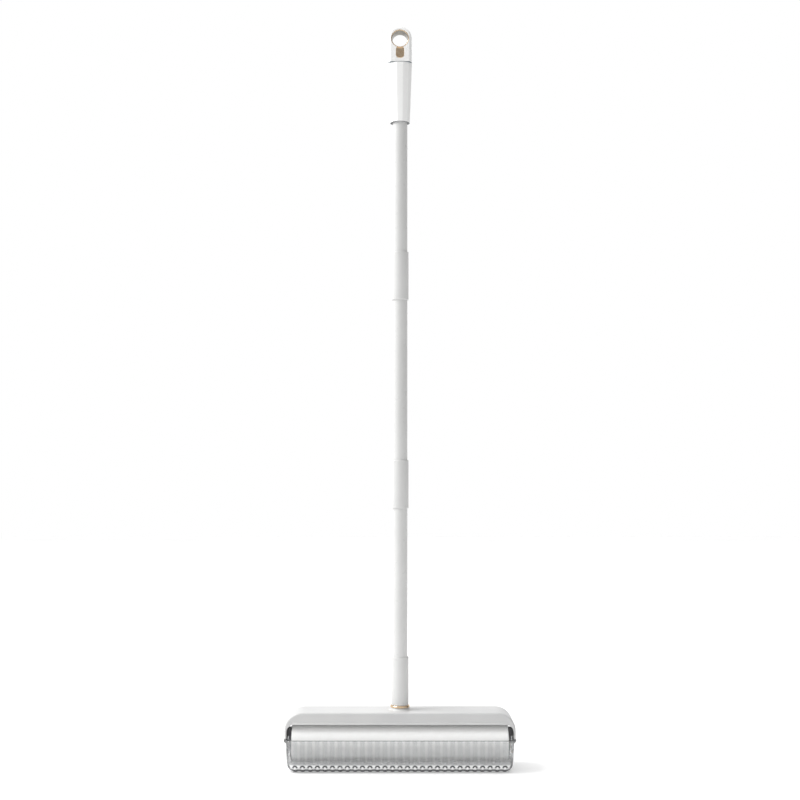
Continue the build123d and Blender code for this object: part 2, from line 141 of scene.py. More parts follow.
def rounded(points, radius, steps=5):
    """A closed or open outline with its corners rounded.

    points is a list of (a, b) or (a, b, r) with r the corner's own radius. Each corner becomes an arc of that
    radius, tangent to its two sides, sampled at equal angles.
    """
    out = []
    count = len(points)
    for i, point in enumerate(points):
        here = np.array(point[:2], dtype=float)
        r = point[2] if len(point) > 2 else radius
        before = np.array(points[i - 1][:2], dtype=float) - here
        after = np.array(points[(i + 1) % count][:2], dtype=float) - here
        a, b = before / np.linalg.norm(before), after / np.linalg.norm(after)
        half = math.acos(np.clip(a @ b, -1, 1)) / 2
        if r <= 0 or half > math.radians(89.5):
            out.append(here)
            continue
        away = r / math.tan(half)
        centre = here + (a + b) / np.linalg.norm(a + b) * r / math.sin(half)
        start, end = here + a * away - centre, here + b * away - centre
        turn = math.atan2(start[0] * end[1] - start[1] * end[0], start @ end)
        angles = np.linspace(0, turn, steps + 1)
        out.extend(centre + np.stack([start[0] * np.cos(angles) - start[1] * np.sin(angles),
                                      start[0] * np.sin(angles) + start[1] * np.cos(angles)], axis=1))
    return np.array(out)


def lathe(name, profile, axis="Z", centre=(0, 0, 0), around=96, closed=True):
    """A surface of revolution: each profile point (radius, along) turned round an axis.

    Point (r, h) at angle t lies at r cos t and r sin t across the axis and h along it. A closed profile makes
    a ring; an open one starts and ends on the axis.
    """
    profile = np.asarray(profile, dtype=float)
    t = np.linspace(0, 2 * np.pi, around, endpoint=False)
    radius, along = profile[:, 0][:, None], profile[:, 1][:, None] + 0 * t[None, :]
    across_a, across_b = radius * np.cos(t), radius * np.sin(t)
    order = {"Z": (across_a, across_b, along), "X": (along, across_a, across_b),
             "Y": (across_b, along, across_a)}[axis]
    verts = np.stack(order, axis=-1).reshape(-1, 3) + np.array(centre)
    faces = grid_faces(len(profile), around, wrap_rows=closed, wrap_columns=True)
    return clean(new_object(name, verts, [faces]))


# Materials

class Nodes:
    """A new material's node tree, with its output and main shader in place."""

    def __init__(self, name, **settings):
        self.material = bpy.data.materials.new(name)
        self.material.use_nodes = True
        self.tree = self.material.node_tree
        self.tree.nodes.clear()
        self.shader = self.add("ShaderNodeBsdfPrincipled", settings)
        self.add("ShaderNodeOutputMaterial", {"Surface": self.shader.outputs["BSDF"]})

    @classmethod
    def of(cls, tree):
        """The same helper for a tree that is there already, such as the world's."""
        nodes = cls.__new__(cls)
        nodes.tree = tree
        return nodes

    def add(self, kind, inputs=None, **settings):
        """Adds a node. inputs gives values or links by socket name, settings its own properties."""
        node = self.tree.nodes.new(kind)
        for key, value in settings.items():
            setattr(node, key, value)
        for key, value in (inputs or {}).items():
            self.join(node.inputs[key], value)
        return node

    def join(self, socket, value):
        """Links a node's output to a socket, or sets the socket to a value."""
        if isinstance(value, bpy.types.NodeSocket):
            self.tree.links.new(value, socket)
        else:
            socket.default_value = value

    def place(self, scale=(1, 1, 1), turn=(0, 0, 0), shift=(0, 0, 0)):
        """The piece's own coordinates in metres, shifted, turned and scaled."""
        coordinates = self.add("ShaderNodeTexCoord")
        mapping = self.add("ShaderNodeMapping", {"Vector": coordinates.outputs["Object"], "Scale": scale,
                                                 "Rotation": turn, "Location": shift})
        return mapping.outputs["Vector"]

    def ramp(self, value, low_at, low_colour, high_at, high_colour):
        """Two colours spread over a value."""
        ramp = self.add("ShaderNodeValToRGB", {"Fac": value})
        ramp.color_ramp.elements[0].position, ramp.color_ramp.elements[0].color = low_at, low_colour
        ramp.color_ramp.elements[1].position, ramp.color_ramp.elements[1].color = high_at, high_colour
        return ramp.outputs["Color"]

    def spread(self, value, low_out, high_out):
        """A 0 to 1 value spread over another range."""
        limits = {"Value": value, "To Min": low_out, "To Max": high_out}
        return self.add("ShaderNodeMapRange", limits).outputs[0]

    def span(self, value, from_low, from_high, to_low, to_high):
        """A value between two limits spread over another range, and held past them."""
        return self.add("ShaderNodeMapRange", {"Value": value, "From Min": from_low, "From Max": from_high,
                                               "To Min": to_low, "To Max": to_high}).outputs[0]

    def ramp_between(self, share, first, second):
        """One colour turning into another as the share goes from 0 to 1."""
        return self.add("ShaderNodeMix", {"Factor": share, 6: first, 7: second}, data_type="RGBA").outputs[2]

    def bump(self, height, distance):
        """A bump of that height in metres."""
        return self.add("ShaderNodeBump", {"Height": height, "Distance": distance}).outputs["Normal"]

    def math(self, operation, first, second, **settings):
        """A Math node's result."""
        return self.add("ShaderNodeMath", {0: first, 1: second}, operation=operation, **settings).outputs[0]

    def paint(self, value, dark, light, low_at=0.3, high_at=0.7):
        """The base colour: two sRGB colours spread over a value."""
        colour = self.ramp(value, low_at, linear(dark), high_at, linear(light))
        self.join(self.shader.inputs["Base Color"], colour)


def noise(nodes, vector, size, detail=2.0, roughness=0.5):
    """Noise with features about size metres across."""
    return nodes.add("ShaderNodeTexNoise", {"Vector": vector, "Scale": 1 / size, "Detail": detail,
                                            "Roughness": roughness}).outputs["Fac"]


def white_abs(name="White_ABS_moulded", dull="#D2D2D1", bright="#D9D9D8"):
    """Injection-moulded white ABS: a satin sheen over a faintly pebbled skin, a little uneven in gloss."""
    n = Nodes(name, IOR=1.53)
    at = n.place()
    cloud = noise(n, at, 60 * MM)
    n.paint(cloud, dull, bright)
    n.join(n.shader.inputs["Roughness"], n.spread(noise(n, at, 14 * MM), 0.30, 0.42))
    n.join(n.shader.inputs["Normal"], n.bump(noise(n, at, 0.9 * MM), 0.006 * MM))
    return n.material


def shaded_hood_abs():
    """The hood's ABS: the same satin skin in a greyer white as painted shade, so that its front stays duller
    than the roll.
    """
    return white_abs("White_ABS_hood_painted_shade", "#C8C8C8", "#CFCFCE")


def grip_abs():
    """The grip's ABS: a brighter white than the head's, with painted shade at the cap's joint, in the recess
    and under the foot.
    """
    material = white_abs("White_ABS_grip", "#F6F6F5", "#FBFBFA")
    n = Nodes.of(material.node_tree)
    n.shader = next(node for node in material.node_tree.nodes if node.type == "BSDF_PRINCIPLED")
    socket = n.shader.inputs["Base Color"]
    white = socket.links[0].from_socket
    sizes = bpy.context.scene.roller_grip
    foot, joint = low("grip")[2], high("grip")[2]
    axes = n.add("ShaderNodeSeparateXYZ", {"Vector": n.place()})
    height = axes.outputs["Z"]
    out = n.add("ShaderNodeVectorMath", {0: n.place(scale=(1, 1, 0))}, operation="LENGTH").outputs["Value"]
    # painted shade: a grey band along the joint under the cap
    seam_middle, seam_half = joint + 0.4 * MM, 0.55 * MM
    painted_joint_shade = n.add("ShaderNodeMath", {0: height, 1: seam_middle, 2: seam_half}, operation="COMPARE").outputs[0]
    # painted shade: darker in the recess round the tube and under the foot
    inside = n.span(out, sizes.recess_radius + 0.1 * MM, sizes.recess_radius + 0.3 * MM, 1.0, 0.0)
    recess_end = foot + sizes.recess_depth + 0.2 * MM
    recess = n.math("MULTIPLY", inside, n.span(height, recess_end, recess_end + 0.2 * MM, 1.0, 0.0))
    under = n.span(height, foot + 0.1 * MM, foot + 0.5 * MM, 1.0, 0.0)
    dark = n.math("MAXIMUM", recess, under)
    shaded = n.ramp_between(painted_joint_shade, white, linear("#8E959A"))
    n.join(socket, n.ramp_between(dark, shaded, linear("#54575A")))
    return material


def white_acetal():
    """Moulded acetal: waxy, less white than the shell, with faint flow marks."""
    n = Nodes("White_acetal_moulded", IOR=1.48)
    at = n.place()
    n.paint(noise(n, at, 25 * MM), "#E3E3E1", "#EDEDEB")
    n.join(n.shader.inputs["Roughness"], n.spread(noise(n, at, 6 * MM), 0.38, 0.50))
    n.join(n.shader.inputs["Normal"], n.bump(noise(n, n.place(scale=(1, 1, 0.2)), 1.5 * MM), 0.01 * MM))
    return n.material


def powder_coat():
    """White powder coat on drawn steel tube: a soft gloss over fine orange peel."""
    n = Nodes("White_powder_coat", IOR=1.5)
    at = n.place()
    n.paint(noise(n, at, 80 * MM), "#D2D2D1", "#D9D9D8")
    n.join(n.shader.inputs["Roughness"], n.spread(noise(n, at, 10 * MM), 0.24, 0.34))
    n.join(n.shader.inputs["Normal"], n.bump(noise(n, at, 1.6 * MM, detail=1.0), 0.012 * MM))
    return n.material


# Heights above the cover's foot, in metres, of the bands of painted light and shade where the wall turns
# under the floor
PAINTED_FOOT_LINE = (1.0 * MM, 4.5 * MM)
PAINTED_GLINT = (5.5 * MM, 11.5 * MM)
PAINTED_HAZE = (11.0 * MM, 24.0 * MM)
PAINTED_ARCH = (8.0 * MM, 14.0 * MM)
ARCH_INNER, ARCH_FULL, ARCH_OUTER = 1.3 * MM, 2.2 * MM, 4.1 * MM    # radii of the arch round a flute's end
PAINTED_RIM_LINE = 0.9 * MM
SOFT = 0.8 * MM


def clear_styrene():
    """Moulded clear polystyrene: glassy and colourless, with painted grey where it is thick and painted dark
    where it is seen edge on.

    The flutes repeat along X at the pitch given in the cover's settings. A flute is thicker than the groove
    beside it, and its greyer colour is painted shade for the light that it takes. The bands at the foot are
    painted light and shade that stand in for light bent by the corner.
    """
    sizes = bpy.context.scene.roller_cover
    foot, rim = low("dust_cover")[2], high("dust_cover")[2]
    n = Nodes("Clear_polystyrene_moulded", IOR=1.59)
    at = n.place()
    axes = n.add("ShaderNodeSeparateXYZ", {"Vector": at})
    height = axes.outputs["Z"]
    from_crest = n.math("PINGPONG", axes.outputs["X"], sizes.pitch / 2)
    flute = n.span(from_crest, 0.36 * sizes.width, 0.60 * sizes.width, 1.0, 0.0)
    # how nearly edge on the wall is seen, which sets its painted dark reflection
    edge = n.add("ShaderNodeLayerWeight", {"Blend": 0.35}).outputs["Facing"]

    def band(low_z, high_z, soft):
        """1 between two heights above the foot, fading to 0 over a soft distance outside them."""
        rising = n.span(height, foot + low_z - soft, foot + low_z, 0.0, 1.0)
        falling = n.span(height, foot + high_z, foot + high_z + soft, 1.0, 0.0)
        return n.math("MULTIPLY", rising, falling)

    # where the wall turns under the floor it lies edge on; painted there, for light bent by the corner: a
    # dark line, a painted highlight band above it that fades upwards, and a painted dark arch round the end
    # of each flute
    painted_glint = band(*PAINTED_GLINT, SOFT)
    painted_haze = n.span(height, foot + PAINTED_HAZE[0], foot + PAINTED_HAZE[1], 0.75, 0.0)
    above_end = n.math("SUBTRACT", height, foot + PAINTED_ARCH[0])
    from_end = n.add("ShaderNodeCombineXYZ", {"X": from_crest, "Y": above_end})
    radius = n.add("ShaderNodeVectorMath", {0: from_end.outputs[0]}, operation="LENGTH").outputs["Value"]
    ring = n.span(n.span(radius, ARCH_INNER, ARCH_OUTER, -1.0, 1.0), 0.0, 1.0, 1.0, 0.0)
    arch = n.math("MULTIPLY", ring, n.span(radius, ARCH_INNER, ARCH_FULL, 0.0, 1.0))
    cap = n.math("MULTIPLY", arch, band(*PAINTED_ARCH, 0.6 * MM))
    line = band(*PAINTED_FOOT_LINE, SOFT)
    # painted shade: a dark line along the top edge of the rim
    painted_rim_shade = n.span(band(rim - foot - PAINTED_RIM_LINE, rim - foot, 0.2 * MM), 0.0, 1.0, 0.0, 0.5)
    dark = n.math("MAXIMUM", n.math("MAXIMUM", cap, line), painted_rim_shade)
    # the painted highlight band fades in above the painted dark line, and gives way to any painted dark mark
    fade_in = n.span(height, foot + PAINTED_GLINT[0] - SOFT, foot + PAINTED_GLINT[0], 0.0, 1.0)
    bright = n.math("MULTIPLY", n.math("MAXIMUM", painted_glint, painted_haze), fade_in)
    bright = n.math("SUBTRACT", bright, dark, use_clamp=True)
    # under the painted highlight the plastic turns less clear, so that it reads white
    n.join(n.shader.inputs["Transmission Weight"], n.span(bright, 0.0, 1.0, 1.0, 0.15))
    # painted shade: the flutes are greyer than the grooves between them; then the painted highlight in white
    # and the painted dark marks
    body = n.ramp(flute, 0.0, linear("#FFFFFF"), 1.0, linear("#DCDEDF"))
    body = n.ramp_between(bright, body, linear("#FFFFFF"))
    body = n.ramp_between(dark, body, linear("#4A4E52"))
    # painted dark reflection where the wall is seen edge on
    body = n.ramp_between(n.span(edge, 0.15, 0.55, 0.0, 1.0), body, linear("#2A2D30"))
    n.join(n.shader.inputs["Base Color"], body)
    # the painted marks and the edge-on walls are less see-through than the rest
    solid = n.math("MAXIMUM", n.math("MAXIMUM", n.span(edge, 0.10, 0.45, 0.0, 1.0), dark), bright)
    clear = n.span(flute, 0.0, 1.0, 0.08, 0.42)
    alpha = n.add("ShaderNodeMix", {"Factor": solid, "A": clear, "B": 1.0}).outputs[0]
    n.join(n.shader.inputs["Alpha"], alpha)
    n.join(n.shader.inputs["Roughness"], n.spread(noise(n, at, 20 * MM), 0.015, 0.05))
    n.join(n.shader.inputs["Normal"], n.bump(noise(n, at, 12 * MM, detail=1.0), 0.05 * MM))
    return n.material


def rose_gold():
    """Rose-gold plate over turned brass: a warm mirror with fine lathe lines round it."""
    n = Nodes("Rose_gold_plate", Metallic=1.0)
    at = n.place()
    plate = n.ramp(noise(n, at, 5 * MM), 0.25, linear("#E3C4A0"), 0.75, linear("#F0DABD"))
    # painted dark reflection: inside the eye's bore the plate gives way to a darker, greyer metal
    lo, hi = low("cap_liner"), high("cap_liner")
    centre = middle("cap_liner")
    radius = n.add("ShaderNodeVectorMath", {0: n.place(scale=(1, 0, 1), shift=(-centre[0], 0, -centre[2]))},
                   operation="LENGTH").outputs["Value"]
    bore = n.span(radius, (hi[0] - lo[0]) / 2 - 1.4 * MM, (hi[0] - lo[0]) / 2 - 1.2 * MM, 1.0, 0.0)
    painted_bore_shade = n.ramp(noise(n, at, 8 * MM), 0.3, linear("#5E564C"), 0.7, linear("#8F8C82"))
    n.join(n.shader.inputs["Base Color"], n.ramp_between(bore, plate, painted_bore_shade))
    n.join(n.shader.inputs["Roughness"], n.spread(noise(n, at, 3 * MM), 0.14, 0.24))
    lines = noise(n, n.place(scale=(0.05, 0.05, 1)), 0.25 * MM, detail=3.0)
    n.join(n.shader.inputs["Normal"], n.bump(lines, 0.004 * MM))
    return n.material


def zinc_steel():
    """Zinc-plated steel wire and pins: grey and slightly cloudy."""
    n = Nodes("Zinc_plated_steel", Metallic=1.0)
    at = n.place()
    n.paint(noise(n, at, 3 * MM), "#B4B6B9", "#CFD0D2")
    n.join(n.shader.inputs["Roughness"], n.spread(noise(n, at, 1.2 * MM), 0.24, 0.38))
    n.join(n.shader.inputs["Normal"], n.bump(noise(n, at, 0.6 * MM), 0.005 * MM))
    return n.material


def adhesive_paper():
    """Coated white paper with a tacky face: bright, slightly mottled, with a thin wet-looking film."""
    n = Nodes("Adhesive_coated_paper", IOR=1.47)
    at = n.place()
    n.paint(noise(n, at, 9 * MM, detail=4.0), "#FAFAF9", "#FFFFFE")
    n.join(n.shader.inputs["Roughness"], n.spread(noise(n, at, 4 * MM, detail=3.0), 0.34, 0.52))
    fibre = noise(n, n.place(scale=(0.25, 1, 1)), 0.8 * MM, detail=4.0)
    n.join(n.shader.inputs["Normal"], n.bump(fibre, 0.02 * MM))
    return n.material


def wound_board():
    """Spiral-wound grey-brown board: fibrous and dull."""
    n = Nodes("Wound_board", IOR=1.45)
    fibre = noise(n, n.place(scale=(0.3, 1, 1), turn=(0, 0, 0.5)), 1.2 * MM, detail=5.0)
    n.paint(fibre, "#9A7F63", "#BCA383")
    n.shader.inputs["Roughness"].default_value = 0.85
    n.join(n.shader.inputs["Normal"], n.bump(fibre, 0.08 * MM))
    return n.material


def dark_nylon():
    """Glass-filled nylon, moulded dark grey: dull, with fibres that show faintly in the skin."""
    n = Nodes("Dark_nylon_glass_filled", IOR=1.53)
    fibre = noise(n, n.place(scale=(0.3, 1, 1)), 1.0 * MM, detail=4.0)
    n.paint(fibre, "#747477", "#848488")
    n.join(n.shader.inputs["Roughness"], n.spread(noise(n, n.place(), 3 * MM), 0.42, 0.58))
    n.join(n.shader.inputs["Normal"], n.bump(fibre, 0.015 * MM))
    return n.material


# by material slot, but for the hood, which has a greyer copy of the white ABS as painted shade
FINISHES = {
    "clear_plastic": clear_styrene, "white_shell": white_abs, "white_inner": white_acetal,
    "steel": zinc_steel, "dark_inner": dark_nylon, "coated_tube": powder_coat, "rose_metal": rose_gold,
    "paper": adhesive_paper, "board": wound_board, "grip_plastic": grip_abs, "hood": shaded_hood_abs,
}


made = {}


def finish_of(slot_name):
    """The material of a slot, made the first time that it is asked for."""
    key = "finish_" + slot_name
    if key not in made:
        made[key] = FINISHES[slot_name]()
    return made[key]


def dress(obj, slot_name):
    """Gives a piece the finish of a slot."""
    obj.data.materials.clear()
    obj.data.materials.append(finish_of(slot_name))


def place_piece(obj, body, slot_name, *nodes):
    """Finishes a new piece: its material, the body that it rides on and the nodes that it stands for."""
    dress(obj, slot_name)
    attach(obj, body)
    if nodes:
        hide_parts(*nodes)
    return obj


# Settings

class CoverSettings(bpy.types.PropertyGroup):
    """Sizes of the clear dust cover's flutes."""
    flutes: bpy.props.IntProperty(name="Flutes", description="Number of flutes", default=29)
    pitch: bpy.props.FloatProperty(name="Pitch", description="Flute spacing", default=10.9 * MM,
                                   subtype="DISTANCE", unit="LENGTH")
    width: bpy.props.FloatProperty(name="Width", description="Width of one flute", default=7.6 * MM,
                                   subtype="DISTANCE", unit="LENGTH")
    height: bpy.props.FloatProperty(name="Height", description="How far a flute stands out", default=1.6 * MM,
                                    subtype="DISTANCE", unit="LENGTH")
    wall: bpy.props.FloatProperty(name="Wall", description="Thickness of the wall", default=2.2 * MM,
                                  subtype="DISTANCE", unit="LENGTH")
    corner: bpy.props.FloatProperty(name="Corner", description="Corner radius seen from above",
                                    default=13 * MM,
                                    subtype="DISTANCE", unit="LENGTH")
    floor_corner: bpy.props.FloatProperty(name="Floor corner", description="Radius where wall meets floor",
                                          default=10 * MM, subtype="DISTANCE", unit="LENGTH")
    lip_out: bpy.props.FloatProperty(name="Lip", description="How far the rim stands out", default=2.4 * MM,
                                     subtype="DISTANCE", unit="LENGTH")
    lip_height: bpy.props.FloatProperty(name="Lip height", description="Height of the rim", default=4 * MM,
                                        subtype="DISTANCE", unit="LENGTH")
    draft: bpy.props.FloatProperty(name="Draft", description="Slope of the walls", default=math.radians(3.5),
                                   subtype="ANGLE", unit="ROTATION")


class RefillSettings(bpy.types.PropertyGroup):
    """Sizes of the adhesive roll and of the pin's spring."""
    wound_rings: bpy.props.IntProperty(name="Wound rings", description="Rings that show on each end",
                                       default=9)
    ring_depth: bpy.props.FloatProperty(name="Ring depth", description="Depth of the rings",
                                        default=0.25 * MM,
                                        subtype="DISTANCE", unit="LENGTH")
    sheet: bpy.props.FloatProperty(name="Sheet", description="Step at the outer sheet's edge",
                                   default=0.35 * MM,
                                   subtype="DISTANCE", unit="LENGTH")
    edge_angle: bpy.props.FloatProperty(name="Edge angle",
                                        description="Where the outer sheet ends, in degrees "
                                        "from the back, upwards", default=62.0)
    spring_turns: bpy.props.IntProperty(name="Spring turns", description="Turns of the pin's spring",
                                        default=7)


class PoleSettings(bpy.types.PropertyGroup):
    """Details of the pole's sleeves."""
    rim_radius: bpy.props.FloatProperty(name="Rim", description="Rounding of the rims", default=0.9 * MM,
                                        subtype="DISTANCE", unit="LENGTH")
    groove: bpy.props.FloatProperty(name="Witness line", description="Depth of the line near each end",
                                    default=0.18 * MM, subtype="DISTANCE", unit="LENGTH")
    groove_from_end: bpy.props.FloatProperty(name="Line from end",
                                             description="Distance of the line from the end",
                                             default=3.2 * MM, subtype="DISTANCE", unit="LENGTH")


class GripSettings(bpy.types.PropertyGroup):
    """Sizes of the grip."""
    sides: bpy.props.IntProperty(name="Sides", description="Number of flat sides", default=12)
    foot_width: bpy.props.FloatProperty(name="Foot width", description="Width at the lower end",
                                        default=28.7 * MM,
                                        subtype="DISTANCE", unit="LENGTH")
    top_depth: bpy.props.FloatProperty(name="Top depth", description="Depth at the upper end",
                                       default=23.6 * MM,
                                       subtype="DISTANCE", unit="LENGTH")
    edge_radius: bpy.props.FloatProperty(name="Edge", description="Rounding of the long edges",
                                         default=1.2 * MM,
                                         subtype="DISTANCE", unit="LENGTH")
    end_bevel: bpy.props.FloatProperty(name="End", description="Rounding of the ends", default=0.5 * MM,
                                       subtype="DISTANCE", unit="LENGTH")
    recess_radius: bpy.props.FloatProperty(name="Recess", description="Radius of the recess round the tube",
                                           default=12.3 * MM, subtype="DISTANCE", unit="LENGTH")
    recess_depth: bpy.props.FloatProperty(name="Recess depth", description="Depth of that recess",
                                          default=4 * MM,
                                          subtype="DISTANCE", unit="LENGTH")


class StudioSettings(bpy.types.PropertyGroup):
    """Camera and light."""
    distance: bpy.props.FloatProperty(name="Distance", description="Camera distance", default=1.85,
                                      subtype="DISTANCE", unit="LENGTH")
    height: bpy.props.FloatProperty(name="Height", description="Camera height", default=0.433,
                                    subtype="DISTANCE", unit="LENGTH")
    lens: bpy.props.FloatProperty(name="Lens", description="Focal length in millimetres", default=56.25)
    shift: bpy.props.FloatProperty(name="Shift", description="Vertical shift of the view", default=0.094)
    key_power: bpy.props.FloatProperty(name="Key", description="Key light in watts", default=105.0,
                                       subtype="POWER", unit="POWER")
    left_level: bpy.props.FloatProperty(name="Left", description="Brightness of the room on the left",
                                        default=0.95)
    right_level: bpy.props.FloatProperty(name="Right", description="Brightness of the room on the right",
                                         default=0.06)
    table_half: bpy.props.FloatProperty(name="Table size", description="Half the width of the table",
                                        default=7.0,
                                        subtype="DISTANCE", unit="LENGTH")
    table_glow: bpy.props.FloatProperty(name="Table", description="Brightness of the lit table", default=0.36)
    front_level: bpy.props.FloatProperty(name="Front", description="Brightness of the room in front",
                                         default=0.36)
    above_level: bpy.props.FloatProperty(name="Above", description="Brightness of the room overhead",
                                         default=1.15)


# Operators

class ROLLER_OT_dust_cover(bpy.types.Operator):
    """Clear fluted dust cover"""
    bl_idname = "roller.dust_cover"
    bl_label = "Dust cover"

    def execute(self, context):
        s = context.scene.roller_cover
        bottom, top = low("dust_cover")[2], high("dust_cover")[2]
        rim_x = high("dust_cover")[0] - s.lip_out
        rim_y = high("dust_cover")[1] - s.lip_out
        base = bottom + s.height

        def inset(z):
            """How far the drafted wall has come in at a height."""
            return (top - z) * math.tan(s.draft)

        # the wall's section, from the middle of the floor outside, up and over the rim, to the middle inside:
        # (inset from the rim's outline, height), with the floor reached as a share of the way to the middle
        def shell(off, floor_z, corner):
            """Wall from floor corner to rim: a quarter arc that ends on the drafted wall, then the wall."""
            angle = np.linspace(-math.pi / 2, -s.draft, 9)
            foot = inset(floor_z) + off
            arc = np.stack([foot + corner * (1 - np.cos(angle)),
                            floor_z + corner * (1 + np.sin(angle))], axis=1)
            heights = np.linspace(arc[-1, 1], top - s.lip_height - 0.4 * MM, 8)[1:]
            wall = np.stack([inset(heights) + off, heights], axis=1)
            return np.concatenate([arc, wall])

        outside = shell(0.0, base, s.floor_corner)
        inside = shell(s.wall, base + s.wall, s.floor_corner - s.wall)
        lip = rounded([(inset(top - s.lip_height), top - s.lip_height, 0.3 * MM),
                       (-s.lip_out, top - s.lip_height, 0.9 * MM), (-s.lip_out, top, 1.2 * MM),
                       (s.wall, top, 0.7 * MM), (inset(base) + s.wall, base, 0)], 0.5 * MM, 4)[:-1]
        section = np.concatenate([outside, lip, inside[::-1]])
        start = len(outside)

        # the plan's outline: x stations along the straight sides, close enough to draw the flutes, and arcs
        straight = rim_x - s.corner
        samples = s.flutes * 16
        along = np.linspace(-straight, straight, samples)
        arc = np.linspace(0, math.pi / 2, 9)[1:-1]
        side = np.linspace(-(rim_y - s.corner), rim_y - s.corner, 9)

        def outline(d):
            """Plan outline moved in by d: two straight sides, four arcs and two ends. Rows of (x, y)."""
            r = max(s.corner - d, 0.05 * MM)
            cx, cy = straight, rim_y - s.corner
            ex = max(rim_x - d, cx + r) if d < s.corner else rim_x - d
            front = np.stack([along, np.full(samples, -(cy + s.corner - d))], axis=1)
            q1 = np.stack([cx + (ex - cx) * np.sin(arc), -(cy + (s.corner - d) * np.cos(arc))], axis=1)
            right = np.stack([np.full(9, ex), side], axis=1)
            q2 = np.stack([cx + (ex - cx) * np.cos(arc), cy + (s.corner - d) * np.sin(arc)], axis=1)
            half = np.concatenate([front, q1, right, q2])
            return np.concatenate([half, -half])

        rings = []
        for d, z in section:
            plan = outline(d)
            rings.append(np.concatenate([plan, np.full((len(plan), 1), z)], axis=1))

        # floor rings run in from the foot of the wall to the middle line
        def floor_rings(ring, shares):
            target = ring.copy()
            target[:, 0] = np.clip(ring[:, 0], -straight, straight)
            target[:, 1] = 0
            return [ring + (target - ring) * share for share in shares]

        shares = np.linspace(1, 0, 7)[:-1]
        rings = floor_rings(rings[0], shares) + rings + floor_rings(rings[-1], shares[::-1])
        start += len(shares)
        grid = np.array(rings)

        # flutes: a flattened half-round of the given width and height, repeated at the pitch, pushed out of
        # the outside of the walls that face front or back and out of the floor
        x = grid[:, :, 0]
        place = (x / s.pitch) - np.round(x / s.pitch)
        across = np.clip(np.abs(place * s.pitch) / (s.width / 2), 0, 1)
        radius = (s.width ** 2 / 4 + s.height ** 2) / (2 * s.height)
        rise = np.sqrt(radius ** 2 - (across * s.width / 2) ** 2) - (radius - s.height)
        rise *= np.abs(np.round(x / s.pitch)) <= (s.flutes - 1) / 2
        # on_outside is 1 on the rings up to the underside of the lip; down is how much a ring faces the floor
        on_outside = np.zeros(len(grid))
        on_outside[:start - 1] = 1
        down = np.zeros(len(grid))
        down[:len(shares)] = 1
        down[len(shares):start] = math.sin(s.draft)
        down[len(shares):len(shares) + 9] = np.sin(np.linspace(math.pi / 2, s.draft, 9))
        outward = np.sqrt(1 - down ** 2)
        facing = np.sign(grid[:, :, 1]) * (np.abs(grid[:, :, 1]) > 1e-9)
        grid[:, :, 1] += rise * (on_outside * outward)[:, None] * facing
        grid[:, :, 2] -= rise * (on_outside * down)[:, None]
        faces = grid_faces(len(grid), grid.shape[1], wrap_columns=True)
        cover = clean(new_object("clear_cover", grid.reshape(-1, 3), [faces]), 2e-6)
        place_piece(cover, "cover", "clear_plastic", "dust_cover")
        return {"FINISHED"}


class ROLLER_OT_refill(bpy.types.Operator):
    """Adhesive paper roll with its outer sheet's edge and its wound ends"""
    bl_idname = "roller.refill"
    bl_label = "Refill"

    def execute(self, context):
        s = context.scene.roller_refill
        lo, hi, centre = low("adhesive_roll"), high("adhesive_roll"), middle("adhesive_roll")
        outer = (hi[2] - lo[2]) / 2
        inner = high("paper_core")[2] - centre[2]
        half = (hi[0] - lo[0]) / 2
        # profile in (radius, along X): up one end in shallow rings, along the outside and down the other
        rings = np.linspace(inner, outer - 0.4 * MM, 2 * s.wound_rings + 1)
        dip = np.where(np.arange(len(rings)) % 2, s.ring_depth, 0.0)
        end = np.stack([rings, half - dip], axis=1)
        edge = np.array([[outer - 0.1 * MM, half - 0.1 * MM], [outer, half - 0.4 * MM]])
        skin = np.stack([np.full(7, outer), np.linspace(half - 2 * MM, -half + 2 * MM, 7)], axis=1)
        right = np.concatenate([end, edge])
        left = right[::-1] * (1, -1)
        profile = np.concatenate([right, skin, left])
        # the outside is one turn of sheet: the radius falls by the sheet's thickness over the turn, and steps
        # back up where the sheet ends, on the top at the back
        turn = np.concatenate([np.linspace(0, 2 * np.pi, 144, endpoint=False), [2 * np.pi - 0.002]])
        share = (profile[:, 0] - inner) / (outer - inner)
        radius = profile[:, 0][:, None] - s.sheet * share[:, None] ** 8 * (turn / (2 * np.pi))[None, :]
        at = turn + math.radians(s.edge_angle)
        along = profile[:, 1][:, None] + 0 * turn[None, :]
        verts = np.stack([along, radius * np.cos(at), radius * np.sin(at)], axis=-1).reshape(-1, 3) + centre
        faces = grid_faces(len(profile), len(turn), wrap_rows=True, wrap_columns=True)
        roll = clean(new_object("adhesive_roll_wound", verts, [faces]))
        place_piece(roll, "roller", "paper", "adhesive_roll")
        return {"FINISHED"}


class ROLLER_OT_sleeves(bpy.types.Operator):
    """Joining sleeves of the pole, with rounded rims and a witness line near each"""
    bl_idname = "roller.sleeves"
    bl_label = "Sleeves"

    def execute(self, context):
        s = context.scene.roller_pole
        tube = high("lower_tube")[0]
        for node, body in (("neck_sleeve", "lower_pole"), ("middle_sleeve", "lower_pole"),
                           ("upper_sleeve", "middle_pole")):
            lo, hi = low(node), high(node)
            bore, outer = tube + 0.05 * MM, hi[0]
            groove = s.groove
            points = [(bore, lo[2]), (outer, lo[2])]
            for z in (lo[2] + s.groove_from_end, hi[2] - s.groove_from_end):
                points += [(outer, z - groove), (outer - groove, z), (outer, z + groove)]
            points += [(outer, hi[2]), (bore, hi[2])]
            # the rims are rounded at the outside, eased at the bore, and the grooves stay nearly sharp
            radii = [0.25 * MM, s.rim_radius, *[0.05 * MM] * (len(points) - 4), s.rim_radius, 0.25 * MM]
            sized = [(*q, r) for q, r in zip(points, radii)]
            sleeve = lathe(node + "_moulded", rounded(sized, 0, 4))
            place_piece(sleeve, body, "white_shell", node)
        return {"FINISHED"}


